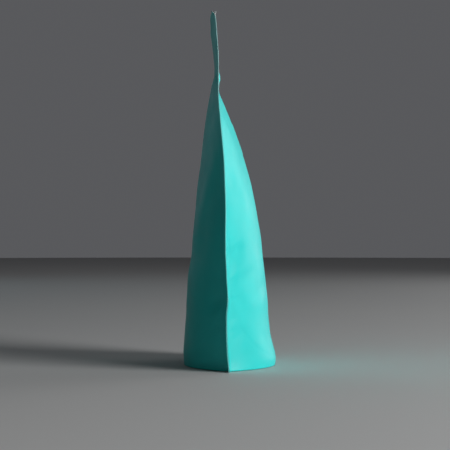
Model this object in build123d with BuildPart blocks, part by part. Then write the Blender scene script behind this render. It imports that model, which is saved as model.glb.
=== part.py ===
from build123d import *
from math import cos, pi, radians, sin
import os

os.makedirs("parts", exist_ok=True)

# A filled stand-up pouch of laminate film. X runs across the pouch from side seal to side seal,
# the front panel faces -Y, +Z is up, and the pouch stands on z = 0.

# ---------------------------------------------------------------- driving dimensions (mm)
HEIGHT = 170.0          # floor to the top edge
FLAT_WIDTH = 110.0      # width of the flat pouch, reached in the header
FILM = 0.15             # laminate thickness
SIDE_SEAL = 5.0         # width of the side seal bands
SEAL_LAND = 1.0         # how far the weld runs in under the bulged film, at its flattest

FOLD_Y = 5.9            # the header folds about this line, parallel to X
FOLD_Z = 131.0
FOLD_CLEARANCE = 1.5    # each film stops this far from the fold line
HEADER_LEAN = 1.9       # degrees that the header leans to the rear

GUSSET_DEPTH = 35.0     # height of the gusset's fold at the side seals
GUSSET_FLOOR = 3.0      # height of the gusset over the floor in the middle
GUSSET_POWER = 2.6      # how sharply the gusset turns up towards the seals

FILL_TOP = 100.0        # the beans reach this height
FILL_GAP = 0.5          # air between the beans and the films

# The filled body at a few heights: height, half span between the side seals, front face,
# rear face, side seam, and the two exponents of the plan curve 1 - |x/span|^p, raised to q.
# The film doesn't stretch, so each curve is as long as the flat panel between its seals.
BODY_LEVELS = [
    # z, span, front, rear, seam, p, q
    (-6.0, 41.2, -23.3, 23.9, 0.6, 2.3, 0.85),
    (0.0, 41.5, -22.7, 23.5, 0.7, 2.3, 0.85),
    (13.0, 42.9, -20.2, 23.1, 1.4, 2.2, 0.88),
    (35.0, 44.2, -18.1, 22.0, 1.6, 2.1, 0.92),
    (62.0, 45.9, -15.1, 19.3, 2.3, 2.05, 0.96),
    (90.0, 47.7, -10.3, 16.3, 2.8, 2.0, 1.0),
    (113.0, 49.1, -3.3, 13.4, 4.3, 2.0, 1.0),
    (124.0, 49.7, 1.3, 10.4, 5.3, 2.0, 1.0),
    (129.5, 50.0, 4.75, 7.05, 5.85, 2.0, 1.0),
    (135.0, 50.0, 4.75, 7.05, 5.90, 2.0, 1.0),
]
PLAN_STEPS = 14         # spans of each plan curve

# Header, measured up from the fold line along its own leaning plane
POCKET_TOP = 16.0       # the zipper pocket's walls stay parallel up to here
POCKET_CLOSE = 20.0     # and the films meet here
POCKET_HALF_GAP = 1.0
NOTCH_RISE = 21.3       # tear notches
NOTCH_SIZE = 1.6
CORNER_RADIUS = 3.0

# Zipper
ZIP_RISE = 9.0          # the profiles' height over the fold line
ZIP_FLANGE = 12.0
ZIP_WALL = 0.3
ZIP_HALF_LENGTH = 48.5
RIB_STEM = 0.4
# Profiles about the zipper's centre line: x towards the front film, y up
RIB_HEAD = [(0.05, 0.45), (-0.35, 0.2), (-0.35, -0.2), (0.05, -0.45)]
UPPER_JAW = [(-0.75, 0.95), (0.35, 0.95), (0.35, 0.30), (0.15, 0.30), (0.15, 0.57), (-0.75, 0.57)]

# Degassing valve, on the front panel's centre line
VALVE_Z = 113.0
VALVE_SLOPE = 21.0      # degrees that the panel leans back there
VALVE_DROP = 0.6        # the flat flange lies this far under the crowned film, on a weld ring
FLANGE_RADIUS = 8.0
FLANGE_WALL = 0.5
WELD_WIDTH = 1.4
CUP_RADIUS = 6.0
CUP_DEPTH = 2.6
BORE_RADIUS = 5.0
BORE_DEPTH = 1.6
MEMBRANE_RADIUS = 4.0
MEMBRANE_WALL = 0.4
MEMBRANE_GAP = 0.02     # film of sealing oil under the resting disc
SEAT_PORTS = 4          # gas ports through the seat under the disc
SEAT_PORT_RING = 2.0
CAP_TOP = 0.2
CAP_WALL = 0.6
CAP_PORTS = 6
CAP_PORT_RING = 2.8
PORT_RADIUS = 0.6
PINHOLES = 5            # vents through the film, around one in the middle
PINHOLE_RING = 2.5
PINHOLE_RADIUS = 0.4
FILTER_RADIUS = 4.5
FILTER_WALL = 0.2

FAR = 80.0              # beyond every face of the pouch
THROUGH = 3.0           # from inside the film at the valve to well outside it


# ---------------------------------------------------------------- shared shapes
def plan_curve(span, seam, face, p, q):
    """Points from one side seal to the other along a panel, at one height."""
    points = []
    for i in range(PLAN_STEPS + 1):
        u = sin(pi * (i / PLAN_STEPS - 0.5))
        bulge = max(1 - abs(u) ** p, 0) ** q
        points.append((span * u, seam + (face - seam) * bulge))
    return points


def body_block(inset, land):
    """The filled body as a solid, with its faces and its side seams moved in."""
    with BuildPart() as block:
        for z, span, front, rear, seam, p, q in BODY_LEVELS:
            with BuildSketch(Plane.XY.offset(z)):
                with BuildLine():
                    reach = span - land * q**2
                    Spline(*plan_curve(reach, seam, front + inset, p, q))
                    Spline(*plan_curve(reach, seam, rear - inset, p, q))
                make_face()
        loft()
    return block.part


def seam_points(offset):
    """The side seam in the Y-Z plane, moved along Y."""
    return [(seam + offset, z) for z, _, _, _, seam, _, _ in BODY_LEVELS]


def half_space(side):
    """Everything in front of the side seam (side = -1) or behind it (side = 1)."""
    low, high = BODY_LEVELS[0][0], BODY_LEVELS[-1][0]
    with BuildPart() as half:
        with BuildSketch(Plane.YZ):
            with BuildLine():
                seam = Spline(*seam_points(0))
                Polyline(seam @ 1, (side * FAR, high), (side * FAR, low), seam @ 0)
            make_face()
        extrude(amount=FAR, both=True)
    return half.part


def seal_sheet(side):
    """The side seals' film: a curved sheet as wide as the pouch, on one side of the seam."""
    spans = [(span + SIDE_SEAL, z) for z, span, *_ in BODY_LEVELS]
    with BuildPart() as sheet:
        with BuildSketch(Plane.YZ):
            with BuildLine():
                near = Spline(*seam_points(0))
                away = Spline(*seam_points(side * FILM))
                Line(near @ 0, away @ 0)
                Line(near @ 1, away @ 1)
            make_face()
        extrude(amount=FAR, both=True)
        with BuildSketch(Plane.XZ):
            with BuildLine():
                right = Spline(*spans)
                left = Spline(*[(-x, z) for x, z in spans])
                Line(right @ 0, left @ 0)
                Line(right @ 1, left @ 1)
            make_face()
        extrude(amount=FAR, both=True, mode=Mode.INTERSECT)
    return sheet.part


def under_gusset(lift):
    """Everything below the gusset's arch, moved up by lift."""
    reach = BODY_LEVELS[3][1] + SIDE_SEAL
    rise = GUSSET_DEPTH - GUSSET_FLOOR
    arch = []
    for i in range(9):
        u = i / 4 - 1
        arch.append((reach * u, GUSSET_FLOOR + lift + rise * abs(u) ** GUSSET_POWER))
    with BuildPart() as below:
        with BuildSketch(Plane.XZ):
            with BuildLine():
                top = Spline(*arch)
                Polyline(top @ 1, (reach, -FAR), (-reach, -FAR), top @ 0)
            make_face()
        extrude(amount=FAR, both=True)
    return below.part


def valve_plane(depth):
    """A plane parallel to the film at the valve, facing out of the pouch, at a depth inside it."""
    tilt = radians(VALVE_SLOPE)
    out = Vector(0, -cos(tilt), sin(tilt))
    face = next(front for z, _, front, *_ in BODY_LEVELS if z == VALVE_Z)
    origin = Vector(0, face, VALVE_Z) - out * (FILM + VALVE_DROP + depth)
    return Plane(origin=origin, x_dir=(1, 0, 0), z_dir=out)


lean = radians(HEADER_LEAN)
# Looking along the fold line: x points out of the front, y up the header.
header_side = Plane(
    origin=(0, FOLD_Y, FOLD_Z), x_dir=(0, -cos(lean), sin(lean)), z_dir=(-1, 0, 0)
)
# The header's front elevation: x across, y up the header.
header_face = Plane(
    origin=(0, FOLD_Y, FOLD_Z), x_dir=(1, 0, 0), z_dir=(0, -cos(lean), sin(lean))
)
header_rise = (HEIGHT - FOLD_Z - FILM * sin(lean)) / cos(lean)

# The body between the floor and the fold, and the room inside the films
with BuildPart() as body_height:
    Box(
        2 * FAR, 2 * FAR, FOLD_Z - FOLD_CLEARANCE,
        align=(Align.CENTER, Align.CENTER, Align.MIN),
    )

outer_block = body_block(0, 0)
film_room = body_block(FILM, SEAL_LAND)
leg_room = body_block(2 * FILM, 2 * SEAL_LAND)
fill_room = body_block(2 * FILM + FILL_GAP, 2 * SEAL_LAND + FILL_GAP)


# The weld that joins the flat flange of the valve to the crowned film
with BuildPart() as valve_weld:
    with BuildSketch(valve_plane(0)):
        Circle(FLANGE_RADIUS)
        Circle(FLANGE_RADIUS - WELD_WIDTH, mode=Mode.SUBTRACT)
    extrude(amount=THROUGH)
    add(outer_block, mode=Mode.INTERSECT)


# ---------------------------------------------------------------- films of the filled body
with BuildPart() as front_panel:
    add(outer_block)
    add(half_space(-1), mode=Mode.INTERSECT)
    add(seal_sheet(-1))
    add(film_room, mode=Mode.SUBTRACT)
    add(body_height.part, mode=Mode.INTERSECT)
    add(valve_weld.part)
    # vent pinholes through the film, over the valve
    with BuildSketch(valve_plane(0)):
        Circle(PINHOLE_RADIUS)
        with PolarLocations(PINHOLE_RING, PINHOLES):
            Circle(PINHOLE_RADIUS)
    extrude(amount=THROUGH, mode=Mode.SUBTRACT)

with BuildPart() as rear_panel:
    add(outer_block)
    add(half_space(1), mode=Mode.INTERSECT)
    add(seal_sheet(1))
    add(film_room, mode=Mode.SUBTRACT)
    add(body_height.part, mode=Mode.INTERSECT)

with BuildPart() as bottom_gusset:
    # the arch between the panels, and its legs welded down their inner faces to the floor
    add(film_room)
    add(under_gusset(FILM), mode=Mode.INTERSECT)
    add(leg_room & under_gusset(0), mode=Mode.SUBTRACT)
    add(body_height.part, mode=Mode.INTERSECT)

with BuildPart() as coffee_fill:
    add(fill_room)
    add(under_gusset(FILM + FILL_GAP), mode=Mode.SUBTRACT)
    add(body_height.part, mode=Mode.INTERSECT)
    split(bisect_by=Plane.XY.offset(FILL_TOP), keep=Keep.BOTTOM)


# ---------------------------------------------------------------- header above the fold line
def header_film(side):
    """One film of the header: side = 1 for the front, -1 for the rear."""
    half = FLAT_WIDTH / 2
    wall = side * FILM
    gap = side * POCKET_HALF_GAP
    start = FOLD_CLEARANCE
    with BuildPart() as film:
        with BuildSketch(header_side):
            Polygon((0, start), (wall, start), (wall, header_rise), (0, header_rise), align=None)
        extrude(amount=half, both=True)
        # the film stands proud around the zipper, between the side seals
        with BuildSketch(header_side):
            Polygon(
                (0, start), (gap + wall, start), (gap + wall, POCKET_TOP), (wall, POCKET_CLOSE),
                (0, POCKET_CLOSE), align=None,
            )
        extrude(amount=half - SIDE_SEAL, both=True)
        with BuildSketch(header_side):
            Polygon((0, 0), (gap, 0), (gap, POCKET_TOP), (0, POCKET_CLOSE), align=None)
        extrude(amount=half - SIDE_SEAL - FILM, both=True, mode=Mode.SUBTRACT)
        # rounded top corners and tear notches
        with BuildSketch(header_face) as elevation:
            with Locations((0, header_rise / 2)):
                Rectangle(FLAT_WIDTH, header_rise)
            fillet(elevation.vertices().group_by(Axis.Z)[-1], CORNER_RADIUS)
            for edge in (-half, half):
                with Locations((edge, NOTCH_RISE)):
                    Rectangle(NOTCH_SIZE, NOTCH_SIZE, rotation=45, mode=Mode.SUBTRACT)
        extrude(amount=FAR, both=True, mode=Mode.INTERSECT)
    return film.part


with BuildPart() as header_front:
    add(header_film(1))

with BuildPart() as header_rear:
    add(header_film(-1))

with BuildPart() as zipper_hook_strip:
    # a flange welded to the front film, and an arrow-shaped rib that points to the rear
    inner = POCKET_HALF_GAP - ZIP_WALL
    with BuildSketch(header_side):
        with Locations((POCKET_HALF_GAP - ZIP_WALL / 2, ZIP_RISE)):
            Rectangle(ZIP_WALL, ZIP_FLANGE)
        with Locations((inner / 2, ZIP_RISE)):
            Rectangle(inner, RIB_STEM)
        with Locations((0, ZIP_RISE)):
            Polygon(*RIB_HEAD, align=None)
    extrude(amount=ZIP_HALF_LENGTH, both=True)

with BuildPart() as zipper_socket_strip:
    # a flange welded to the rear film, and two hooked jaws that close around the rib
    with BuildSketch(header_side):
        with Locations((-POCKET_HALF_GAP + ZIP_WALL / 2, ZIP_RISE)):
            Rectangle(ZIP_WALL, ZIP_FLANGE)
        with Locations((0, ZIP_RISE)):
            for way in (1, -1):
                Polygon(*[(x, way * y) for x, y in UPPER_JAW], align=None)
    extrude(amount=ZIP_HALF_LENGTH, both=True)


# ---------------------------------------------------------------- one-way degassing valve
with BuildPart() as valve_base:
    # a flange under the film and a cup that reaches into the pouch
    with BuildSketch(valve_plane(FLANGE_WALL)):
        Circle(FLANGE_RADIUS)
    extrude(amount=FLANGE_WALL)
    with BuildSketch(valve_plane(CUP_DEPTH)):
        Circle(CUP_RADIUS)
    extrude(amount=CUP_DEPTH)
    with BuildSketch(valve_plane(BORE_DEPTH)):
        Circle(BORE_RADIUS)
    extrude(amount=BORE_DEPTH, mode=Mode.SUBTRACT)
    # gas ports through the seat, and a recess for the filter below them
    with BuildSketch(valve_plane(CUP_DEPTH)):
        with PolarLocations(SEAT_PORT_RING, SEAT_PORTS):
            Circle(PORT_RADIUS)
    extrude(amount=CUP_DEPTH, mode=Mode.SUBTRACT)
    with BuildSketch(valve_plane(CUP_DEPTH)):
        Circle(FILTER_RADIUS)
    extrude(amount=FILTER_WALL, mode=Mode.SUBTRACT)

with BuildPart() as valve_membrane:
    with BuildSketch(valve_plane(BORE_DEPTH - MEMBRANE_GAP)):
        Circle(MEMBRANE_RADIUS)
    extrude(amount=MEMBRANE_WALL)

with BuildPart() as valve_cap:
    # a perforated disc pressed into the mouth of the cup
    with BuildSketch(valve_plane(CAP_TOP + CAP_WALL)):
        Circle(BORE_RADIUS)
        with PolarLocations(CAP_PORT_RING, CAP_PORTS):
            Circle(PORT_RADIUS, mode=Mode.SUBTRACT)
    extrude(amount=CAP_WALL)

with BuildPart() as valve_filter:
    with BuildSketch(valve_plane(CUP_DEPTH)):
        Circle(FILTER_RADIUS)
    extrude(amount=FILTER_WALL)


# ---------------------------------------------------------------- labels and files
pieces = {
    "front_panel": front_panel,
    "rear_panel": rear_panel,
    "bottom_gusset": bottom_gusset,
    "coffee_fill": coffee_fill,
    "header_front": header_front,
    "header_rear": header_rear,
    "zipper_hook_strip": zipper_hook_strip,
    "zipper_socket_strip": zipper_socket_strip,
    "valve_base": valve_base,
    "valve_membrane": valve_membrane,
    "valve_cap": valve_cap,
    "valve_filter": valve_filter,
}
for name, piece in pieces.items():
    piece.part.label = name
    export_step(piece.part, f"parts/{name}.step")
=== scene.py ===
import math

import bpy
import numpy as np
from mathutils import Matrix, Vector


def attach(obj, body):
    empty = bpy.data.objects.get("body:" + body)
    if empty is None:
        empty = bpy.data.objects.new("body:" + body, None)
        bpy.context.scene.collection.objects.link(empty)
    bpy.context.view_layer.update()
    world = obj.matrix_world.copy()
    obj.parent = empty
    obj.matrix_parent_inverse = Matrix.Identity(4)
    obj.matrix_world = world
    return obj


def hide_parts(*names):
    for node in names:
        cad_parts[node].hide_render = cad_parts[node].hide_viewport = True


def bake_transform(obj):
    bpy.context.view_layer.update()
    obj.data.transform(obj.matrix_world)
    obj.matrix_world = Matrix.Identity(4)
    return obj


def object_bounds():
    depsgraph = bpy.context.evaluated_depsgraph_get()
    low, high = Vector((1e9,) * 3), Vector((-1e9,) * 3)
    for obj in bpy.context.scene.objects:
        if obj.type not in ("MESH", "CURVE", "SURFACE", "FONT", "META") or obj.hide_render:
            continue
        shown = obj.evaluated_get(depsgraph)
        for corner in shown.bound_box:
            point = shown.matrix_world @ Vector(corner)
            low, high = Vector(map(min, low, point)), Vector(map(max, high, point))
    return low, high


# A filled stand-up pouch: a front film, a rear film and a gusset film, welded along both sides and at
# the top, around the zipper, valve and beans. Film positions are worked out in millimetres on a grid
# laid on the flat film: s runs across it, from side edge to side edge, and z is the height. A side of
# the pouch is -1 for the front and 1 for the rear.

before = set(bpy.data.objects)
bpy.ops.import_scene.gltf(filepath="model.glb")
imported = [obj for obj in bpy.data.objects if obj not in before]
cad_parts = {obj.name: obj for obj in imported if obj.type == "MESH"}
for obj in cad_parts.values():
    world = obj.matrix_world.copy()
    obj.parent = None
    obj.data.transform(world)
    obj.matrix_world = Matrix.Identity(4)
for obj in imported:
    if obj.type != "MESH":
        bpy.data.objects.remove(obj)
cad_low, cad_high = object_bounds()

MM = 0.001
HALF_WIDTH = cad_high.x / MM
HEIGHT = cad_high.z / MM

# ---------------------------------------------------------------- dimensions (mm)
FILM = 0.15
CONTACT = 0.17          # a film's outer face from the middle of a weld
SIDE_SEAL = 5.0
SEAM_S = HALF_WIDTH - SIDE_SEAL
CORNER_RADIUS = 3.0
NOTCH_Z = 152.3
NOTCH_DEPTH = 1.3
NOTCH_SLOPE = 1.3       # how fast the notch gets shallower away from its middle
INSET_REACH = 1.0       # the film that the corners and notches squeeze in starts this far inside the seam
TWIST = 0.8             # the header's side edge at +X lies this much farther back:
TWIST_X, TWIST_Z = (5, 50), (125, 134)      # the twist grows over these widths and heights
BOW_POWER = 2           # the header's bow is round at the fold,
BOW_SQUARING = 3        # and squarer by this much in its exponent
BOW_SQUARING_Z = (140, 156)     # from here up
TIP_SPREAD = {-1: 0.55, 1: 0.95}    # how far the films' loose top corners stand out, by side
TIP_HEIGHT = 2.2        # over the top of each corner
TIP_START, TIP_END = 2.0, 2.5       # from this far inside the seam to this far inside the edge
RELIEF_RUN = 3.0        # relief grows over this width inside the seam

TOP_SEAL_Z = 160.0
RIB_HEIGHT = 0.07       # ribs pressed into the top seal
RIB_PITCH = 1.25
RIB_RUN = 0.6           # they grow over this height,
RIB_STOP = (1.2, 0.4)   # and die out this far under the top edge

ZIP_LOW, ZIP_HIGH = 134.0, 145.5    # the zipper's flanges
ZIP_Z = 139.2           # and its closure
ZIP_END = 48.5
ZIP_CRUSH = 4.5         # the zipper is crushed from this far inside the seam
ZIP_CRUSH_END = 0.3     # to this far past it
FLANGE_LIFT = 0.30      # each film stands off the middle by this much at the zipper's flanges,
FLANGE_RUN = 1.2
CLOSURE_LIFT = 0.75     # by this much more at its closure,
CLOSURE_WIDTH = 2.6
JAW_LIFT = 0.12         # at the closure's two jaws,
JAW_OFFSET, JAW_WIDTH = 1.1, 0.5
AIR_LIFT = 0.15         # and in the empty pocket above
AIR_RUN = 4.0
STRIP_WALL = 0.24
STRIP_INSET = 0.2       # a strip starts this far over its flange's mark on the film
STRIP_CLEARANCE = 0.012
CRUSHED = 0.25          # the part of a strip's thickness that is left at its ends

VALVE_Z = 113.0
VALVE_RADIUS = 7.6
VALVE_SLANT = 1.07      # length of the film for one millimetre of height at the valve
RING_LIFT = 0.24        # the weld ring around the valve
RING_WIDTH = 0.75
DISC_LIFT = 0.10        # and the film inside it
PINHOLE_RADIUS = 0.4
PINHOLE_RING = 2.6

GUSSET_RISE = 35.0      # the gusset's welds climb to this height at the side seals
GUSSET_LOW = 5.0        # and start this high in the middle
GUSSET_FLOOR = 3.0      # the web between them comes down to here
GUSSET_POWER = 2.6      # how sharply the web turns up towards the seals
WELD_POWER = 3.2        # the same for the weld line
WELD_STEP = 0.15        # how far the film stands out over the weld line
WELD_RUN = 1.2
WELD_FADE = (4, 14)     # and how far over the line that dies out
WELD_EDGE = 0.5         # half the height over which the gusset's thickness ends at the side seals
GUSSET_CLEARANCE = 0.015
WEB_ROUNDNESS = 0.6     # exponent of the web's rise between the legs
PLEAT = 0.35            # depth of the web's pleats
PLEAT_WIDTH = 2.6
PLEAT_SLANT = 5

SWAY = 0.05             # how far the side seals wave
SWAY_LENGTH, SWAY_PHASE = 4.1, 1.3
SWAY_X, SWAY_STOP = (30, 50), (118, 130)
EDGE_LEAN = 0.26        # how far their edges lean to the rear
LEAN_STOP = (120, 134)

# ---------------------------------------------------------------- side profile and plan
# Height, then depth
SEAM = [(0, 0.7), (9, 1.4), (26, 1.95), (34, 1.3), (46, 1.95), (58, 2.4), (78, 2.4), (95, 2.9),
        (109, 3.9), (120, 4.9), (131, 5.9), (147, 5.95), (152, 6.15), (159, 6.7), (170, 7.55)]
FRONT = [(0, -22.3), (3, -22.6), (9, -21.2), (15, -19.8), (21, -19.3), (33, -18.3), (45, -17.1),
         (57, -15.6), (69, -14.3), (81, -12.3), (93, -9.5), (105, -6.0), (117, -1.8), (124, 0.9),
         (130, 3.6), (135, 6.3), (139, 6.9)]
REAR = [(0, 23.4), (5, 23.7), (12, 23.3), (21, 22.8), (33, 22.1), (50, 20.9), (57, 19.8), (81, 17.4),
        (105, 14.7), (118, 13.2), (128, 11.7), (135, 10.3), (141, 8.9)]
# How far the middle of the header stands behind its side edges
BOW = [(118, 0), (131, 0.9), (138, 1.5), (144, 1.8), (149, 1.7), (153, 1.5), (160, 1.75), (166, 2.0),
       (170, 2.4)]
# The heights between which each film comes in to the middle, by side
CLOSING = {-1: (134, 139), 1: (137, 144)}
# Exponents of the plan curve 1 - |x / span|^p, raised to q: a lens that is fuller at the foot
PLAN_P = [(0, 2.3), (35, 2.1), (90, 2.0)]
PLAN_Q = [(0, 0.85), (13, 0.88), (35, 0.92), (90, 1.0)]

# ---------------------------------------------------------------- fineness of the grids
# The rows' stretches: start, end and step
ROW_STRETCHES = [(0, 4, 0.5), (4, 130, 0.9), (130, 150, 0.5), (150, 155, 0.33), (155, 159.5, 0.6),
                 (159.5, HEIGHT, 0.25)]
INNER_COLUMNS = 56
COARSE_END = 2.0        # the wide columns end this far inside the seam
FINE_START = 1.6        # and the narrow ones start this far inside it
FINE_STEP = 0.4
LEG_FACE_ROWS, LEG_ROWS, WEB_ROWS = 61, 19, 27      # of the gusset
STRIP_ROWS, STRIP_COLUMNS = 15, 71                  # of a zipper strip
SPAN_SAMPLES = 160      # points on half a plan curve while its span is sought
SPAN_HALVINGS = 30
SPAN_LEAST = 20.0
PLAN_SAMPLES = 401      # points on a whole plan curve
PLACE_STEP = 0.2        # between the places that a plan curve is read at
SMOOTH_CELLS = 3.0


# ---------------------------------------------------------------- numbers
def curve(knots, at):
    """A smooth curve through knots that doesn't overshoot between them."""
    x = np.array([k[0] for k in knots], float)
    y = np.array([k[1] for k in knots], float)
    step = np.diff(x)
    slope = np.diff(y) / step
    tangent = np.concatenate([[slope[0]], (slope[1:] + slope[:-1]) / 2, [slope[-1]]])
    flat = np.concatenate([[False], slope[1:] * slope[:-1] <= 0, [False]])
    tangent[flat] = 0
    for i, rise in enumerate(slope):
        limit = 3 * abs(rise)
        tangent[i] = np.clip(tangent[i], -limit, limit)
        tangent[i + 1] = np.clip(tangent[i + 1], -limit, limit)
    at = np.clip(at, x[0], x[-1])
    i = np.clip(np.searchsorted(x, at, side="right") - 1, 0, len(step) - 1)
    t = (at - x[i]) / step[i]
    return (
        y[i] * (1 + 2 * t) * (1 - t) ** 2
        + y[i + 1] * t * t * (3 - 2 * t)
        + step[i] * (tangent[i] * t * (1 - t) ** 2 - tangent[i + 1] * t * t * (1 - t))
    )


def ease(low, high, at):
    """0 below low, 1 above high, smooth between."""
    t = np.clip((at - low) / (high - low), 0, 1)
    return t * t * (3 - 2 * t)


def bump(at, centre, width):
    """1 at the centre, falling away smoothly to both sides."""
    return np.exp(-(((at - centre) / width) ** 2))


# ---------------------------------------------------------------- the film's grid
def film_rows():
    """Heights of the grid's rows: closer at the foot, the zipper, the notches and the ribbed top seal."""
    rows = [np.arange(a, b - step / 4, step) for a, b, step in ROW_STRETCHES]
    return np.concatenate(rows + [[HEIGHT]])


def film_columns():
    """Places of the grid's columns on the flat film: closer at the side seals."""
    inner = np.linspace(0, SEAM_S - COARSE_END, INNER_COLUMNS)
    outer = np.concatenate([np.arange(SEAM_S - FINE_START, HALF_WIDTH, FINE_STEP), [HALF_WIDTH]])
    half = np.concatenate([inner, outer])
    return np.concatenate([-half[:0:-1], half])


def edge_inset(z):
    """How far the film's side edge is cut in at a height: rounded corners and the tear notch."""
    up = np.clip(z - (HEIGHT - CORNER_RADIUS), 0, CORNER_RADIUS)
    top = CORNER_RADIUS - np.sqrt(CORNER_RADIUS**2 - up**2)
    notch = np.clip(NOTCH_DEPTH - NOTCH_SLOPE * np.abs(z - NOTCH_Z), 0, None)
    return np.maximum(top, notch)


def half_span(front, rear, p, q):
    """Half the distance between the side seals that makes the film between them its real length."""
    u = np.sin(np.linspace(0, math.pi / 2, SPAN_SAMPLES))
    bulge = np.clip(1 - u**p, 0, None) ** q
    low, high = SPAN_LEAST, SEAM_S
    for _ in range(SPAN_HALVINGS):
        span = (low + high) / 2
        length = sum(np.hypot(np.diff(span * u), np.diff(depth * bulge)).sum() for depth in (front, rear))
        low, high = (span, high) if length < 2 * SEAM_S else (low, span)
    return span


def smooth_along(values, cells):
    """values smoothed over about that many cells, with the ends held."""
    reach = int(3 * cells)
    weight = np.exp(-0.5 * (np.arange(-reach, reach + 1) / cells) ** 2)
    before = 2 * values[0] - values[reach:0:-1]
    after = 2 * values[-1] - values[-2 : -reach - 2 : -1]
    padded = np.concatenate([before, values, after])
    return np.convolve(padded, weight / weight.sum(), mode="valid")


def middle_depth(x, z):
    """Depth of the surface halfway between the films."""
    power = BOW_POWER + BOW_SQUARING * ease(*BOW_SQUARING_Z, z)
    twist = TWIST * ease(*TWIST_X, x) * ease(*TWIST_Z, z)
    return curve(SEAM, z) + curve(BOW, z) * (1 - np.abs(x / HALF_WIDTH) ** power) + twist


def plan_of_row(side, z):
    """A film's plan curve at one height: places on the flat film, and x and the depth from the middle."""
    middle = curve(SEAM, z) + curve(BOW, z)
    front = max(middle - curve(FRONT, z), 0) * (1 - ease(*CLOSING[-1], z))
    rear = max(curve(REAR, z) - middle, 0) * (1 - ease(*CLOSING[1], z))
    p, q = curve(PLAN_P, z), curve(PLAN_Q, z)
    span = half_span(front, rear, p, q)
    u = np.sin(np.linspace(-math.pi / 2, math.pi / 2, PLAN_SAMPLES))
    x, y = span * u, (front if side < 0 else rear) * np.clip(1 - np.abs(u) ** p, 0, None) ** q
    along = np.concatenate([[0], np.cumsum(np.hypot(np.diff(x), np.diff(y)))])
    along = (along / along[-1] - 0.5) * 2 * SEAM_S
    places = np.arange(-HALF_WIDTH, HALF_WIDTH + PLACE_STEP / 2, PLACE_STEP)
    free = np.abs(places) <= SEAM_S
    x = np.where(free, np.interp(places, along, x), np.sign(places) * (span + np.abs(places) - SEAM_S))
    y = np.where(free, np.interp(places, along, y), 0)
    return places, smooth_along(x, SMOOTH_CELLS), smooth_along(y, SMOOTH_CELLS)


def film_positions(side, s, rows):
    """The outer face of a film without its relief, as an array of rows x columns x 3."""
    out = np.zeros((len(rows), len(s), 3))
    for i, z in enumerate(rows):
        places, x, y = plan_of_row(side, z)
        beyond = np.clip(np.abs(s) - SEAM_S + INSET_REACH, 0, None)
        place = np.sign(s) * (np.abs(s) - beyond * edge_inset(z) / (SIDE_SEAL + INSET_REACH))
        out[i, :, 0] = np.interp(place, places, x)
        offset = np.hypot(np.interp(place, places, y), film_gap(place, z))
        out[i, :, 1] = middle_depth(out[i, :, 0], z) + side * offset
        out[i, :, 2] = z
    return out


def zipper_end(s):
    """1 along the zipper, falling to 0 where its ends are crushed into the side seals."""
    return 1 - ease(SEAM_S - ZIP_CRUSH, SEAM_S + ZIP_CRUSH_END, np.abs(s))


def film_gap(s, z):
    """From the middle to a film's outer face where the films are welded or hold only the zipper."""
    gusset = FILM * (1 - ease(GUSSET_RISE - WELD_EDGE, GUSSET_RISE + WELD_EDGE, z))
    flange = ease(ZIP_LOW - FLANGE_RUN, ZIP_LOW, z) - ease(ZIP_HIGH, ZIP_HIGH + FLANGE_RUN, z)
    flange = FLANGE_LIFT * flange
    jaws = bump(z, ZIP_Z - JAW_OFFSET, JAW_WIDTH) + bump(z, ZIP_Z + JAW_OFFSET, JAW_WIDTH)
    closure = CLOSURE_LIFT * bump(z, ZIP_Z, CLOSURE_WIDTH) + JAW_LIFT * jaws
    air = ease(ZIP_HIGH, ZIP_HIGH + AIR_RUN, z) - ease(TOP_SEAL_Z - AIR_RUN, TOP_SEAL_Z, z)
    air = AIR_LIFT * air
    return CONTACT + gusset + (flange + closure + air) * zipper_end(s)


def normals_of(points):
    """Unit normals of a grid of points, along growing s crossed with growing z."""
    across = np.gradient(points, axis=1)
    up = np.gradient(points, axis=0)
    n = np.cross(across, up)
    return n / np.linalg.norm(n, axis=2, keepdims=True)


# ---------------------------------------------------------------- dents, creases and embossing
# Each crease: start and end as (s, z), depth, width
FRONT_CREASES = [
    ((-48, 64), (-30, 72), 0.16, 5.0), ((-50, 49), (-36, 60), 0.70, 3.2),
    ((-49, 45), (-18, 53), -0.40, 3.6), ((-30, 34), (-4, 41), 0.40, 3.4),
    ((-49, 36), (-38, 30), 0.26, 3.2), ((-47, 15), (-38, 19), 0.16, 2.4),
    ((-49, 94), (-40, 88), 0.16, 3.0), ((48, 37), (34, 30), 0.34, 3.6),
    ((49, 52), (34, 63), 0.40, 3.4), ((-45, 127), (-24, 116), 0.26, 3.6),
    ((44, 128), (24, 113), 0.34, 3.8), ((-28, 131), (-18, 122), 0.20, 2.8),
    ((20, 131), (12, 121), 0.20, 2.6), ((-40, 98), (-26, 80), -0.20, 6.0),
    ((38, 90), (18, 70), -0.32, 5.0), ((-12, 24), (16, 21), 0.16, 4.5),
    ((-26, 13), (-10, 9), 0.12, 3.0), ((10, 9), (30, 14), 0.14, 3.0),
    ((-8, 60), (14, 66), -0.20, 6.0), ((49, 80), (38, 74), 0.22, 2.8),
    ((30, 52), (8, 44), -0.22, 4.5),
]
REAR_CREASES = [
    ((-48, 112), (-10, 52), -0.45, 7.0), ((-34, 50), (34, 50), 0.50, 5.5),
    ((-46, 96), (-24, 58), 0.18, 5.0), ((46, 108), (22, 64), -0.42, 6.0),
    ((49, 37), (34, 29), 0.34, 3.8), ((-49, 36), (-38, 29), 0.24, 3.6),
    ((-46, 128), (-24, 114), 0.28, 3.8), ((44, 128), (22, 115), 0.32, 3.8),
    ((-26, 131), (-16, 122), 0.20, 2.8), ((26, 131), (14, 121), 0.20, 2.8),
    ((-14, 22), (18, 25), 0.18, 4.5), ((-28, 13), (-10, 9), 0.12, 3.0),
    ((48, 60), (34, 50), 0.34, 3.2), ((49, 84), (38, 78), 0.22, 2.8),
    ((-12, 84), (16, 90), -0.24, 6.5),
]
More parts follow.
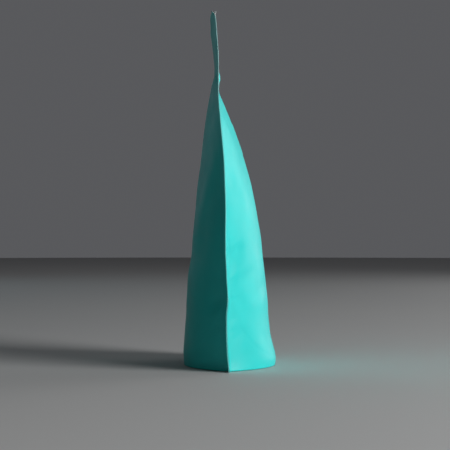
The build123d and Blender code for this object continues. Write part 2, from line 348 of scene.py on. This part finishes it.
CREASE_BOW = 0.05       # a crease bows sideways by this part of its length,
CREASE_IN, CREASE_OUT = (-0.15, 0.3), (0.7, 1.15)   # and fades in and out over these parts of it
SHOULDER = 0.3          # height of its shoulders for a depth of 1,
SHOULDER_AT = 2.0       # this many widths from its middle

# Swells: how many, the farthest s, and the ranges of z, radius and rise
BEAN_SWELLS = (90, 44, (8, 104), (3.5, 7.0), (0.3, 1.0))
BROAD_SWELLS = (16, 40, (14, 96), (9, 15), (-2.4, 2.4))
LUMP_HEIGHT = 0.07      # how much of each swell shows on the film
LUMP_MEAN = 0.8         # taken off every swell, so that the film goes in as well as out
LUMP_EDGE = (2, 14)     # they grow over this width inside the seam,
LUMP_START, LUMP_STOP = (6, 16), (96, 110)      # and over these heights

PUCKER_PERIODS = (3.1, 4.7, 7.3)
PUCKER_HEIGHT = 0.045
PUCKER_SLANT = 0.25
PUCKER_AT, PUCKER_WIDTH = 3.0, 3.4      # inside the seam
PUCKER_CHANGES = (9.7, 5.3)             # how slowly they get weaker and stronger along the seal
PUCKER_START, PUCKER_STOP = (3, 10), (124, 132)

FRONT_SEEDS, REAR_SEEDS = (11, 3), (23, 8)      # for the swells and the puckers


def crease(s, z, start, end, depth, width):
    """A soft valley between two points of the film, with low shoulders; a negative depth is a ridge."""
    (sa, za), (sb, zb) = start, end
    length = math.hypot(sb - sa, zb - za)
    ds, dz = (sb - sa) / length, (zb - za) / length
    along = ((s - sa) * ds + (z - za) * dz) / length
    off = (s - sa) * dz - (z - za) * ds
    off = off + CREASE_BOW * length * np.sin(math.pi * np.clip(along, 0, 1))
    fade = ease(*CREASE_IN, along) * (1 - ease(*CREASE_OUT, along))
    aside = SHOULDER_AT * width
    valley = bump(off, 0, width) - SHOULDER * (bump(off, aside, width) + bump(off, -aside, width))
    return -depth * fade * valley


def lumps(s, z, seed):
    """Where beans press on the film from inside, and the broad uneven swells of a filled pouch."""
    rng = np.random.default_rng(seed)
    total = np.zeros(np.broadcast(s, z).shape)
    for count, reach, heights, sizes, rises in (BEAN_SWELLS, BROAD_SWELLS):
        for _ in range(count):
            at_s, at_z = rng.uniform(-reach, reach), rng.uniform(*heights)
            size, rise = rng.uniform(*sizes), rng.uniform(*rises)
            total += rise * np.exp(-(((s - at_s) / size) ** 2) - ((z - at_z) / size) ** 2)
    swells = LUMP_HEIGHT * (total - LUMP_MEAN) * ease(*LUMP_EDGE, SEAM_S - np.abs(s))
    return swells * ease(*LUMP_START, z) * (1 - ease(*LUMP_STOP, z))


def puckers(s, z, seed):
    """Small uneven gathers along the side seals, where the body's film is drawn in."""
    rng = np.random.default_rng(seed)
    waves = 0.0
    for period in PUCKER_PERIODS:
        slanted = 2 * math.pi * (z + PUCKER_SLANT * np.abs(s)) / period
        waves = waves + np.sin(slanted + rng.uniform(0, 6) + np.sign(s))
    reach = bump(SEAM_S - np.abs(s), PUCKER_AT, PUCKER_WIDTH)
    slow, fast = [np.sin(z / length + rng.uniform(0, 6)) for length in PUCKER_CHANGES]
    uneven = 0.5 + 0.5 * slow * fast
    gathers = PUCKER_HEIGHT * waves * reach * uneven
    return gathers * ease(*PUCKER_START, z) * (1 - ease(*PUCKER_STOP, z))


def seal_line(s):
    """Height of the rounded weld between a panel and the gusset."""
    return GUSSET_LOW + (GUSSET_RISE - GUSSET_LOW) * (np.abs(s) / SEAM_S) ** WELD_POWER


def shared_relief(s, z):
    """Relief that both films have: the weld lines and the ribs of the top seal."""
    over = z - seal_line(s)
    foot = WELD_STEP * ease(0.0, WELD_RUN, over) * (1 - ease(*WELD_FADE, over))
    ribs = RIB_HEIGHT * np.cos(2 * math.pi * z / RIB_PITCH) * ease(TOP_SEAL_Z, TOP_SEAL_Z + RIB_RUN, z)
    ribs = ribs * (1 - ease(HEIGHT - RIB_STOP[0], HEIGHT - RIB_STOP[1], z))
    return foot + ribs


def film_relief(s, z, creases, lump_seed, pucker_seed):
    """Outward movement of a film: welds, swells, puckers and creases."""
    relief = shared_relief(s, z) + lumps(s, z, lump_seed) + puckers(s, z, pucker_seed)
    for start, end, depth, width in creases:
        relief = relief + crease(s, z, start, end, depth, width)
    return relief


def front_relief(s, z):
    """Outward movement of the front film, with the weld ring of the valve."""
    radius = np.hypot(s, (z - VALVE_Z) * VALVE_SLANT)
    disc = 1 - ease(VALVE_RADIUS - 1, VALVE_RADIUS, radius)
    ring = RING_LIFT * bump(radius, VALVE_RADIUS, RING_WIDTH) + DISC_LIFT * disc
    return film_relief(s, z, FRONT_CREASES, *FRONT_SEEDS) + ring


def rear_relief(s, z):
    """Outward movement of the rear film."""
    return film_relief(s, z, REAR_CREASES, *REAR_SEEDS)


def seal_sway(x, s, z):
    """Depth that both films share: the side seals wave a little, and lean to the rear at their edges."""
    wave = SWAY * np.sin(z / SWAY_LENGTH + SWAY_PHASE * np.sign(x))
    wave = wave * ease(*SWAY_X, np.abs(x)) * (1 - ease(*SWAY_STOP, z))
    lean = EDGE_LEAN * ease(SEAM_S, HALF_WIDTH, np.abs(s)) * (1 - ease(*LEAN_STOP, z))
    return wave + lean


def film_surface(side, relief, s, rows):
    """Outer face of a film with all its detail, as a grid of points in millimetres."""
    points = film_positions(side, s, rows)
    ss, zz = np.meshgrid(s, rows)
    outward = normals_of(points) * -side
    points = points + outward * (relief(ss, zz) * ease(0, RELIEF_RUN, SEAM_S - np.abs(ss)))[..., None]
    points[..., 1] += seal_sway(points[..., 0], ss, zz)
    tip = ease(HEIGHT - TIP_HEIGHT, HEIGHT, zz) * ease(SEAM_S - TIP_START, HALF_WIDTH - TIP_END, np.abs(ss))
    points[..., 1] += side * TIP_SPREAD[side] * tip
    points[..., 2] = np.maximum(points[..., 2], 0)
    return points


def inner_face(side, relief, s, rows, below):
    """A layer that far below the inner face of a film."""
    points = film_surface(side, relief, s, rows)
    points -= normals_of(points) * -side * (FILM + below)
    return points


# ---------------------------------------------------------------- meshes
def grid_faces(rows, columns, flip):
    """Quads of a grid of points."""
    i, j = np.meshgrid(np.arange(rows - 1), np.arange(columns - 1), indexing="ij")
    a = (i * columns + j).ravel()
    faces = np.stack([a, a + 1, a + 1 + columns, a + columns], 1)
    return faces[:, ::-1] if flip else faces


def new_mesh(name, vertices, faces, smooth=True):
    """A new piece in the scene, from vertices in metres."""
    mesh = bpy.data.meshes.new(name)
    mesh.from_pydata(np.asarray(vertices).tolist(), [], [list(map(int, f)) for f in faces])
    mesh.update()
    mesh.polygons.foreach_set("use_smooth", [smooth] * len(mesh.polygons))
    piece = bpy.data.objects.new(name, mesh)
    bpy.context.scene.collection.objects.link(piece)
    return piece


def apply_modifiers(piece):
    """Bakes the piece's modifiers into its mesh."""
    made = bpy.data.meshes.new_from_object(piece.evaluated_get(bpy.context.evaluated_depsgraph_get()))
    piece.modifiers.clear()
    old, piece.data = piece.data, made
    bpy.data.meshes.remove(old)


def add_wall(piece, materials):
    """Gives a sheet its thickness: outer face, inner face and cut edge each have their material."""
    for material in materials:
        piece.data.materials.append(material)
    wall = piece.modifiers.new("wall", "SOLIDIFY")
    wall.thickness = FILM * MM
    wall.offset = -1
    wall.material_offset = 1
    wall.material_offset_rim = 2
    apply_modifiers(piece)


def film_piece(name, side, relief, materials):
    """One panel film from the floor to the top edge, with its thickness and cut edge."""
    points = film_surface(side, relief, film_columns(), film_rows())
    rows, columns = points.shape[:2]
    piece = new_mesh(name, points.reshape(-1, 3) * MM, grid_faces(rows, columns, side > 0))
    add_wall(piece, materials)
    return piece


def pinholes(film):
    """Real holes through the front film over the valve, in the middle of its weld ring."""
    slope = math.atan2(curve(FRONT, VALVE_Z + 2) - curve(FRONT, VALVE_Z - 2), 4)
    turns = [math.radians(a) for a in range(18, 378, 72)]
    places = [(0.0, 0.0)] + [(PINHOLE_RING * math.cos(t), PINHOLE_RING * math.sin(t)) for t in turns]
    cutters = []
    for x, up in places:
        z = VALVE_Z + up * math.cos(slope)
        bpy.ops.mesh.primitive_cylinder_add(
            vertices=12, radius=PINHOLE_RADIUS * MM, depth=3 * MM,
            location=(x * MM, curve(FRONT, z) * MM, z * MM), rotation=(math.pi / 2 - slope, 0, 0),
        )
        cutters.append(bpy.context.object)
    bpy.ops.object.select_all(action="DESELECT")
    for cutter in cutters:
        cutter.select_set(True)
    bpy.context.view_layer.objects.active = cutters[0]
    bpy.ops.object.join()
    cut = film.modifiers.new("pinholes", "BOOLEAN")
    cut.operation = "DIFFERENCE"
    cut.solver = "EXACT"
    cut.object = cutters[0]
    apply_modifiers(film)
    bpy.data.objects.remove(cutters[0])


def gusset_leg(side, relief, s):
    """The gusset's leg on one panel, from the floor up to the rounded weld line."""
    rows = np.linspace(0, GUSSET_RISE, LEG_FACE_ROWS)
    face = inner_face(side, relief, s, rows, GUSSET_CLEARANCE)
    top = np.minimum(seal_line(s), GUSSET_RISE)
    height = np.linspace(0, 1, LEG_ROWS)[:, None] * top[None, :]
    columns = [[np.interp(height[:, j], rows, face[:, j, k]) for k in range(3)] for j in range(len(s))]
    return np.array(columns).transpose(2, 0, 1)


def gusset_web(front, rear, s):
    """The gusset's web between the tops of its legs: down to the floor in the middle, with pleats."""
    over = np.linspace(0, 1, WEB_ROWS)[1:-1, None]
    climb = np.minimum(np.abs(s) / SEAM_S, 1) ** GUSSET_POWER
    crown = GUSSET_FLOOR + (GUSSET_RISE - GUSSET_FLOOR) * climb
    rise = np.sin(math.pi * over) ** WEB_ROUNDNESS
    pleat = PLEAT * np.sin(s / PLEAT_WIDTH + PLEAT_SLANT * over) * rise
    pleat = pleat * ease(*LUMP_EDGE, SEAM_S - np.abs(s))
    web = front[-1] * (1 - over[..., None]) + rear[-1] * over[..., None]
    web[..., 2] = web[..., 2] * (1 - rise) + (crown + pleat) * rise
    return web


def gusset_piece(materials):
    """The bottom film: a leg welded to each panel, and the web between them."""
    s = film_columns()[::2]
    front, rear = gusset_leg(-1, front_relief, s), gusset_leg(1, rear_relief, s)
    points = np.concatenate([front, gusset_web(front, rear, s), rear[::-1]])
    points[..., 2] = np.maximum(points[..., 2], 0)
    rows, columns = points.shape[:2]
    piece = new_mesh("gusset_film", points.reshape(-1, 3) * MM, grid_faces(rows, columns, False))
    add_wall(piece, materials)
    return piece


# ---------------------------------------------------------------- zipper
# Each rib's section: height from the closure's middle, and how far it stands off its flange
HOOK_RIB = [(0.22, 0), (0.22, 0.50), (0.50, 0.58), (0.12, 1.0),
            (-0.12, 1.0), (-0.50, 0.58), (-0.22, 0.50), (-0.22, 0)]
SOCKET_RIB = [(1.0, 0), (0.95, 0.80), (0.75, 1.0), (0.34, 1.0), (0.42, 0.88), (0.72, 0.78), (0.72, 0),
              (-0.72, 0), (-0.72, 0.78), (-0.42, 0.88), (-0.34, 1.0), (-0.75, 1.0), (-0.95, 0.80),
              (-1.0, 0)]


def strip_outline(side, relief, s, rib, ends):
    """Closed section of a zipper strip at every place s: a flange on the film, then its rib."""
    flange = np.linspace(ZIP_LOW + STRIP_INSET, ZIP_HIGH, STRIP_ROWS)
    outer = inner_face(side, relief, s, flange, STRIP_CLEARANCE)
    rib_z = np.array([ZIP_Z + dz for dz, _ in rib])
    over, under = flange[flange > rib_z[0]][::-1], flange[flange < rib_z[-1]][::-1]
    back = np.concatenate([over, rib_z, under])
    rise = np.concatenate([np.zeros(len(over)), [d for _, d in rib], np.zeros(len(under))])
    inner = np.zeros((len(back), len(s), 3))
    for j in range(len(s)):
        for k in range(3):
            inner[:, j, k] = np.interp(back, flange, outer[:, j, k])
    inner[..., 2] = back[:, None]
    inner[..., 1] -= side * (STRIP_WALL + rise[:, None]) * ends
    return np.concatenate([outer, inner])


def zipper_strip(name, side, relief, rib, material):
    """A zipper strip, bowed with the header's films."""
    s = np.linspace(-ZIP_END, ZIP_END, STRIP_COLUMNS)
    ring = strip_outline(side, relief, s, rib, CRUSHED + (1 - CRUSHED) * zipper_end(s))
    count = len(ring)
    points = ring.transpose(1, 0, 2).reshape(-1, 3) * MM
    faces = []
    for j in range(len(s) - 1):
        for k in range(count):
            n = (k + 1) % count
            faces.append((j * count + k, j * count + n, (j + 1) * count + n, (j + 1) * count + k))
    faces.append(tuple(range(count))[::-1])
    faces.append(tuple((len(s) - 1) * count + k for k in range(count)))
    piece = new_mesh(name, points, faces if side < 0 else [f[::-1] for f in faces], smooth=False)
    piece.data.materials.append(material)
    return piece


# ---------------------------------------------------------------- coffee beans
BEAN_HALF_LENGTH = 5.25
BEAN_HALF_WIDTH = 3.8
BEAN_HEIGHT = 3.35      # of its round back
BEAN_BELLY = 0.55       # its flat side bulges by this part of that
BEAN_RINGS, BEAN_STEPS = 9, 14
SLIT_DEPTH, SLIT_WIDTH = 0.35, 0.16     # of its crease, as parts of its size
SMALLEST_BEAN = 0.86
ROOM_X = 50             # the room inside the films is tested out to here, every millimetre,
ROOM_LOW, ROOM_HIGH = 2, 112    # and between these heights,
ROOM_STEP = 2.0         # every 2 mm
WALL_GAP = 0.9          # the beans stay this far inside the films' smooth faces
FLOOR_GAP = 1.2         # and this far over the gusset,
FLOOR_SPAN = 44         # which climbs to its full rise this far out
LOWEST_LAYER, HIGHEST_LAYER = 6.5, 100
LAYER_STEP = 5.6        # between layers of beans
ROW_END = 40            # the beans' middles lie within this far of the pouch's middle
BEAN_PITCH = 8.4        # between beans in a layer, along X
ROW_PITCH = 7.6         # and along Y
ROW_INSET = 4.2         # from a film to the middle of the bean beside it
SQUEEZE = 2.5           # how much narrower the room may be and still take a bean
HEAP_TOP, HEAP_DROOP = 99, 0.006    # the heap's height in the middle, and how it falls to the sides
SHAKE = 0.8             # how far each bean is shifted at random
BEAN_SEED = 5
PLACE_TRIES = 12
RETREAT = 0.03          # part of the way to the middle that a bean goes back after each try


def bean_shape():
    """One roasted bean lying on its flat side, with its crease."""
    points, rings, steps = [], BEAN_RINGS, BEAN_STEPS
    for i in range(rings):
        polar = math.pi * (i + 0.5) / rings
        for j in range(steps):
            turn = 2 * math.pi * j / steps
            x, y, z = math.cos(polar), math.sin(polar) * math.cos(turn), math.sin(polar) * math.sin(turn)
            z = z if z > 0 else BEAN_BELLY * z
            slit = SLIT_DEPTH * math.exp(-((y / SLIT_WIDTH) ** 2)) if z < 0 else 0
            points.append((BEAN_HALF_LENGTH * x, BEAN_HALF_WIDTH * y, BEAN_HEIGHT * z * (1 - slit)))
    faces = []
    for i in range(rings - 1):
        for j in range(steps):
            n = (j + 1) % steps
            faces.append((i * steps + j, i * steps + n, (i + 1) * steps + n, (i + 1) * steps + j))
    faces.append(tuple(range(steps))[::-1])
    faces.append(tuple((rings - 1) * steps + j for j in range(steps)))
    return np.array(points), faces


def turned(points, rng):
    """points turned any way round at random."""
    q = rng.normal(size=4)
    w, x, y, z = q / np.linalg.norm(q)
    turn = np.array([
        [1 - 2 * (y * y + z * z), 2 * (x * y - z * w), 2 * (x * z + y * w)],
        [2 * (x * y + z * w), 1 - 2 * (x * x + z * z), 2 * (y * z - x * w)],
        [2 * (x * z - y * w), 2 * (y * z + x * w), 1 - 2 * (x * x + y * y)],
    ])
    return points @ turn.T


def room_inside():
    """A test of points against the films and the gusset, and the films' inner faces on its grid."""
    xs = np.arange(-ROOM_X, ROOM_X + 0.5, 1.0)
    zs = np.arange(ROOM_LOW, ROOM_HIGH, ROOM_STEP)
    walls = np.zeros((2, len(zs), len(xs)))
    for i, z in enumerate(zs):
        for k, side in enumerate((-1, 1)):
            _, x, y = plan_of_row(side, z)
            walls[k, i] = curve(SEAM, z) + side * (np.interp(xs, x, y, 0, 0) - WALL_GAP)

    def inside(points):
        i = np.clip(((points[:, 2] - ROOM_LOW) / ROOM_STEP).round().astype(int), 0, len(zs) - 1)
        j = np.clip((points[:, 0] + ROOM_X).round().astype(int), 0, len(xs) - 1)
        climb = np.abs(points[:, 0] / FLOOR_SPAN) ** GUSSET_POWER
        floor = GUSSET_FLOOR + FLOOR_GAP + (GUSSET_RISE - GUSSET_FLOOR) * climb
        clear = (points[:, 1] > walls[0, i, j]) & (points[:, 1] < walls[1, i, j])
        return bool((clear & (points[:, 2] > floor)).all())

    return inside, walls


def placed_bean(shape, place, seam, inside, rng):
    """The bean turned at random at a place, or None if every try pokes through a film."""
    for _ in range(PLACE_TRIES):
        points = turned(shape, rng) + place
        if inside(points):
            return points
        place[:2] = place[:2] * (1 - RETREAT) + np.array([0, RETREAT * seam])
    return None


def bean_rows(walls):
    """Middles of the beans before they are shaken: layers between the films, up to a rounded top."""
    middles = []
    for layer, z in enumerate(np.arange(LOWEST_LAYER, HIGHEST_LAYER, LAYER_STEP)):
        i = int(round((z - ROOM_LOW) / ROOM_STEP))
        for x in np.arange(-ROW_END + BEAN_PITCH / 2 * (layer % 2), ROW_END + 1, BEAN_PITCH):
            j = int(round(x + ROOM_X))
            front, rear = walls[0, i, j] + ROW_INSET, walls[1, i, j] - ROW_INSET
            if z > HEAP_TOP - HEAP_DROOP * x * x or rear < front - SQUEEZE:
                continue
            count = max(1, int((rear - front) / ROW_PITCH) + 1)
            for k in range(count):
                y = (front + rear) / 2 if count == 1 else front + (rear - front) * k / (count - 1)
                middles.append((x, y, z))
    return middles


def bean_heap(material):
    """The coffee: every bean turned, sized and shifted at random."""
    rng = np.random.default_rng(BEAN_SEED)
    shape, shape_faces = bean_shape()
    inside, walls = room_inside()
    vertices, faces = [], []
    for middle in bean_rows(walls):
        place = np.array(middle) + rng.uniform(-SHAKE, SHAKE, 3)
        grown = shape * rng.uniform(SMALLEST_BEAN, 1.0)
        points = placed_bean(grown, place, float(curve(SEAM, middle[2])), inside, rng)
        if points is not None:
            faces += [tuple(v + len(vertices) * len(shape) for v in f) for f in shape_faces]
            vertices.append(points)
    piece = new_mesh("coffee_beans", np.concatenate(vertices) * MM, faces)
    piece.data.materials.append(material)
    return piece


# ---------------------------------------------------------------- materials
def node_material(name, roughness):
    """A new material, its node tree, its shader and the object's own coordinates."""
    material = bpy.data.materials.new(name)
    material.use_nodes = True
    tree = material.node_tree
    shader = tree.nodes["Principled BSDF"]
    shader.inputs["Roughness"].default_value = roughness
    place = tree.nodes.new("ShaderNodeTexCoord").outputs["Object"]
    return material, tree, shader, place


def noise(tree, vector, scale, detail):
    """Grey noise with that many cells in a metre."""
    node = tree.nodes.new("ShaderNodeTexNoise")
    node.inputs["Scale"].default_value = scale
    node.inputs["Detail"].default_value = detail
    tree.links.new(vector, node.inputs["Vector"])
    return node.outputs["Fac"]


def ramp(tree, value, low, high, start, end):
    """value mapped from low..high to start..end."""
    node = tree.nodes.new("ShaderNodeMapRange")
    for socket, number in zip(("From Min", "From Max", "To Min", "To Max"), (low, high, start, end)):
        node.inputs[socket].default_value = number
    tree.links.new(value, node.inputs["Value"])
    return node.outputs["Result"]


def combined(tree, operation, first, second):
    """Two values put together by a sum or a product."""
    node = tree.nodes.new("ShaderNodeMath")
    node.operation = operation
    tree.links.new(first, node.inputs[0])
    tree.links.new(second, node.inputs[1])
    return node.outputs["Value"]


def mixed(tree, factor, first, second):
    """A colour between first and second; each is a plain colour or another node's output."""
    node = tree.nodes.new("ShaderNodeMix")
    node.data_type = "RGBA"
    tree.links.new(factor, node.inputs["Factor"])
    for socket, colour in (("A", first), ("B", second)):
        if isinstance(colour, tuple):
            node.inputs[socket].default_value = (*colour, 1)
        else:
            tree.links.new(colour, node.inputs[socket])
    return node.outputs["Result"]


def bumped(tree, height, distance, strength, normal=None):
    """Normals of a fine texture, on top of another one if there is one."""
    node = tree.nodes.new("ShaderNodeBump")
    node.inputs["Distance"].default_value = distance
    node.inputs["Strength"].default_value = strength
    tree.links.new(height, node.inputs["Height"])
    if normal:
        tree.links.new(normal, node.inputs["Normal"])
    return node.outputs["Normal"]


def laminate():
    """Matt mint laminate: satin film with a faint orange peel, cloudy print and a fine matt grain."""
    material, tree, shader, place = node_material("laminate_film", 0.45)
    cloud = noise(tree, place, 38, 3)
    colour = mixed(tree, ramp(tree, cloud, 0.3, 0.7, 0, 1), (0.012, 0.490, 0.470), (0.017, 0.530, 0.506))
    tree.links.new(colour, shader.inputs["Base Color"])
    smear = noise(tree, place, 120, 4)
    tree.links.new(ramp(tree, smear, 0.3, 0.7, 0.40, 0.50), shader.inputs["Roughness"])
    peel = bumped(tree, noise(tree, place, 420, 1), 0.00004, 0.35)
    grain = bumped(tree, noise(tree, place, 3600, 1), 0.00001, 0.16, peel)
    tree.links.new(grain, shader.inputs["Normal"])
    shader.inputs["Specular IOR Level"].default_value = 0.28
    return material


def lining():
    """Sealable inner face: white film over metal."""
    material, tree, shader, place = node_material("film_lining", 0.38)
    colour = mixed(tree, noise(tree, place, 160, 2), (0.66, 0.70, 0.70), (0.80, 0.83, 0.82))
    tree.links.new(colour, shader.inputs["Base Color"])
    shader.inputs["Metallic"].default_value = 0.35
    return material


def cut_edge():
    """The cut through the laminate's layers: mint, paler along the header, and near-white at its top,
    partly the white lining showing and partly a painted highlight on the shaded top corners.
    """
    material, tree, shader, place = node_material("film_cut_edge", 0.5)
    split = tree.nodes.new("ShaderNodeSeparateXYZ")
    tree.links.new(place, split.inputs["Vector"])
    height = split.outputs["Z"]
    # The edge is paler along the header than down the body, with random blotches on top.
    header_paler = ramp(tree, height, 0.126, 0.136, 0.0, 0.9)
    blotch = ramp(tree, noise(tree, place, 300, 2), 0.3, 0.7, 0.0, 0.2)
    colour = mixed(tree, combined(tree, "ADD", header_paler, blotch), (0.05, 0.46, 0.44), (0.30, 0.55, 0.55))
    # Near-white at the very top: partly the white lining showing at the loose corners, partly a painted
    # highlight that brightens corners lying in shade.
    colour = mixed(tree, ramp(tree, height, 0.1665, 0.1685, 0.0, 1.0), colour, (0.85, 0.89, 0.89))
    tree.links.new(colour, shader.inputs["Base Color"])
    return material


def moulded(name, first, second, roughness, scale=500):
    """Plastic, silicone, paper or roasted bean: an uneven colour and a fine surface texture."""
    material, tree, shader, place = node_material(name, roughness)
    tone = noise(tree, place, scale, 3)
    tree.links.new(mixed(tree, tone, first, second), shader.inputs["Base Color"])
    uneven = ramp(tree, tone, 0.3, 0.7, roughness - 0.05, roughness + 0.08)
    tree.links.new(uneven, shader.inputs["Roughness"])
    tree.links.new(bumped(tree, noise(tree, place, scale * 6, 2), 0.00002, 0.4), shader.inputs["Normal"])
    return material


def floor_paint():
    """Plain pale floor."""
    material, tree, shader, place = node_material("floor", 0.8)
    colour = mixed(tree, noise(tree, place, 3, 2), (0.60, 0.60, 0.60), (0.63, 0.63, 0.62))
    tree.links.new(colour, shader.inputs["Base Color"])
    return material


# ---------------------------------------------------------------- studio
CAMERA_PLACE = (-0.763, 0.0029, 0.0697)
LENS, SENSOR = 121.3, 36.0
FLOOR_RADIUS = 2.5
FLOOR_DROP = 0.0002     # the floor lies this far under the pouch
# Each light: name, place, target, size, power and colour
LIGHTS = [
    ("key", (-0.66, -1.03, 0.22), (0, 0, 0.04), 0.8, 22.2, (1, 1, 1)),
    ("rim", (0.80, -1.0, 0.14), (0, 0, 0.02), 1.0, 5.0, (1, 1, 1)),
    ("fill", (-0.9, 0.7, 0.35), (0, 0, 0.08), 1.0, 0.64, (1, 1, 1)),
    ("back", (1.0, 0.72, 0.38), (0, 0, 0.10), 0.6, 0.34, (0.55, 0.88, 1.0)),
]
SKY = (0.62, 0.63, 0.67)


def camera():
    """Level with the lower middle of the pouch, looking along +X at its side edge."""
    eye = bpy.data.cameras.new("camera")
    eye.lens = LENS
    eye.sensor_width = SENSOR
    view = bpy.data.objects.new("camera", eye)
    view.location = CAMERA_PLACE
    view.rotation_euler = (math.pi / 2, 0, -math.pi / 2)
    bpy.context.scene.collection.objects.link(view)
    bpy.context.scene.camera = view


def area_light(name, place, target, size, power, colour):
    """A round soft light that points at its target."""
    light = bpy.data.lights.new(name, "AREA")
    light.shape = "DISK"
    light.size = size
    light.energy = power
    light.color = colour
    lamp = bpy.data.objects.new(name, light)
    bpy.context.scene.collection.objects.link(lamp)
    lamp.location = place
    away = lamp.location - Vector(target)
    lamp.rotation_euler = away.to_track_quat("Z", "Y").to_euler()


def lay_floor():
    """A round floor under the pouch."""
    bpy.ops.mesh.primitive_circle_add(
        vertices=96, radius=FLOOR_RADIUS, fill_type="NGON", location=(0, 0, -FLOOR_DROP)
    )
    floor = bpy.context.object
    floor.name = "floor"
    floor.data.materials.append(floor_paint())


def light_sky():
    """A dim grey surround: darker towards the rear panel's side, and brighter at the far end."""
    world = bpy.data.worlds.new("studio")
    bpy.context.scene.world = world
    world.use_nodes = True
    tree = world.node_tree
    direction = tree.nodes.new("ShaderNodeSeparateXYZ")
    tree.links.new(tree.nodes.new("ShaderNodeTexCoord").outputs["Generated"], direction.inputs["Vector"])
    sideways = ramp(tree, direction.outputs["Y"], 0.3, 0.75, 0.16, 0.034)
    lengthways = ramp(tree, direction.outputs["X"], -0.3, 0.5, 0.15, 1.0)
    background = tree.nodes["Background"]
    background.inputs["Color"].default_value = (*SKY, 1)
    strength = combined(tree, "MULTIPLY", sideways, lengthways)
    tree.links.new(strength, background.inputs["Strength"])


def studio():
    """Floor, lights and surround."""
    lay_floor()
    for light in LIGHTS:
        area_light(*light)
    light_sky()
    bpy.context.scene.view_settings.view_transform = "Standard"


# ---------------------------------------------------------------- pieces
def make_films(materials):
    """Front and rear film, each in place of its CAD panel and header film; the front gets the valve's
    pinholes.
    """
    sides = (("front", -1, front_relief, "front_panel"), ("rear", 1, rear_relief, "rear_panel"))
    for name, side, relief, panel in sides:
        film = film_piece(name + "_film", side, relief, materials)
        if side < 0:
            pinholes(film)
        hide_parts(panel, "header_" + name)
        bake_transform(film)


def make_gusset(materials):
    """The bottom film rides with the body; its printed face looks down at the floor."""
    gusset = gusset_piece(materials)
    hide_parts("bottom_gusset")
    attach(gusset, "pouch")


def make_zipper():
    """Both zipper strips ride with the header."""
    plastic = moulded("zipper_plastic", (0.55, 0.62, 0.62), (0.70, 0.76, 0.75), 0.35)
    strips = (("hook", -1, front_relief, HOOK_RIB), ("socket", 1, rear_relief, SOCKET_RIB))
    for name, side, relief, rib in strips:
        strip = zipper_strip("zipper_" + name, side, relief, rib, plastic)
        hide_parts("zipper_" + name + "_strip")
        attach(strip, "header")


def make_valve():
    """The valve's CAD pieces keep their shapes and get their materials."""
    plastic = moulded("valve_plastic", (0.60, 0.64, 0.64), (0.72, 0.75, 0.74), 0.32)
    looks = {
        "valve_base": plastic,
        "valve_cap": plastic,
        "valve_membrane": moulded("silicone", (0.42, 0.34, 0.26), (0.55, 0.46, 0.36), 0.45, 300),
        "valve_filter": moulded("filter_paper", (0.62, 0.58, 0.50), (0.80, 0.77, 0.70), 0.85, 1200),
    }
    for node, material in looks.items():
        for slot in bpy.data.objects[node].material_slots:
            slot.material = material


def make_beans():
    """The beans ride with the body."""
    roast = moulded("roasted_beans", (0.016, 0.006, 0.003), (0.055, 0.020, 0.009), 0.38, 260)
    beans = bean_heap(roast)
    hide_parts("coffee_fill")
    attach(beans, "pouch")


camera()
studio()
edge, print_side, seal_side = cut_edge(), laminate(), lining()
make_films([print_side, seal_side, edge])
make_gusset([seal_side, print_side, edge])
make_zipper()
make_valve()
make_beans()
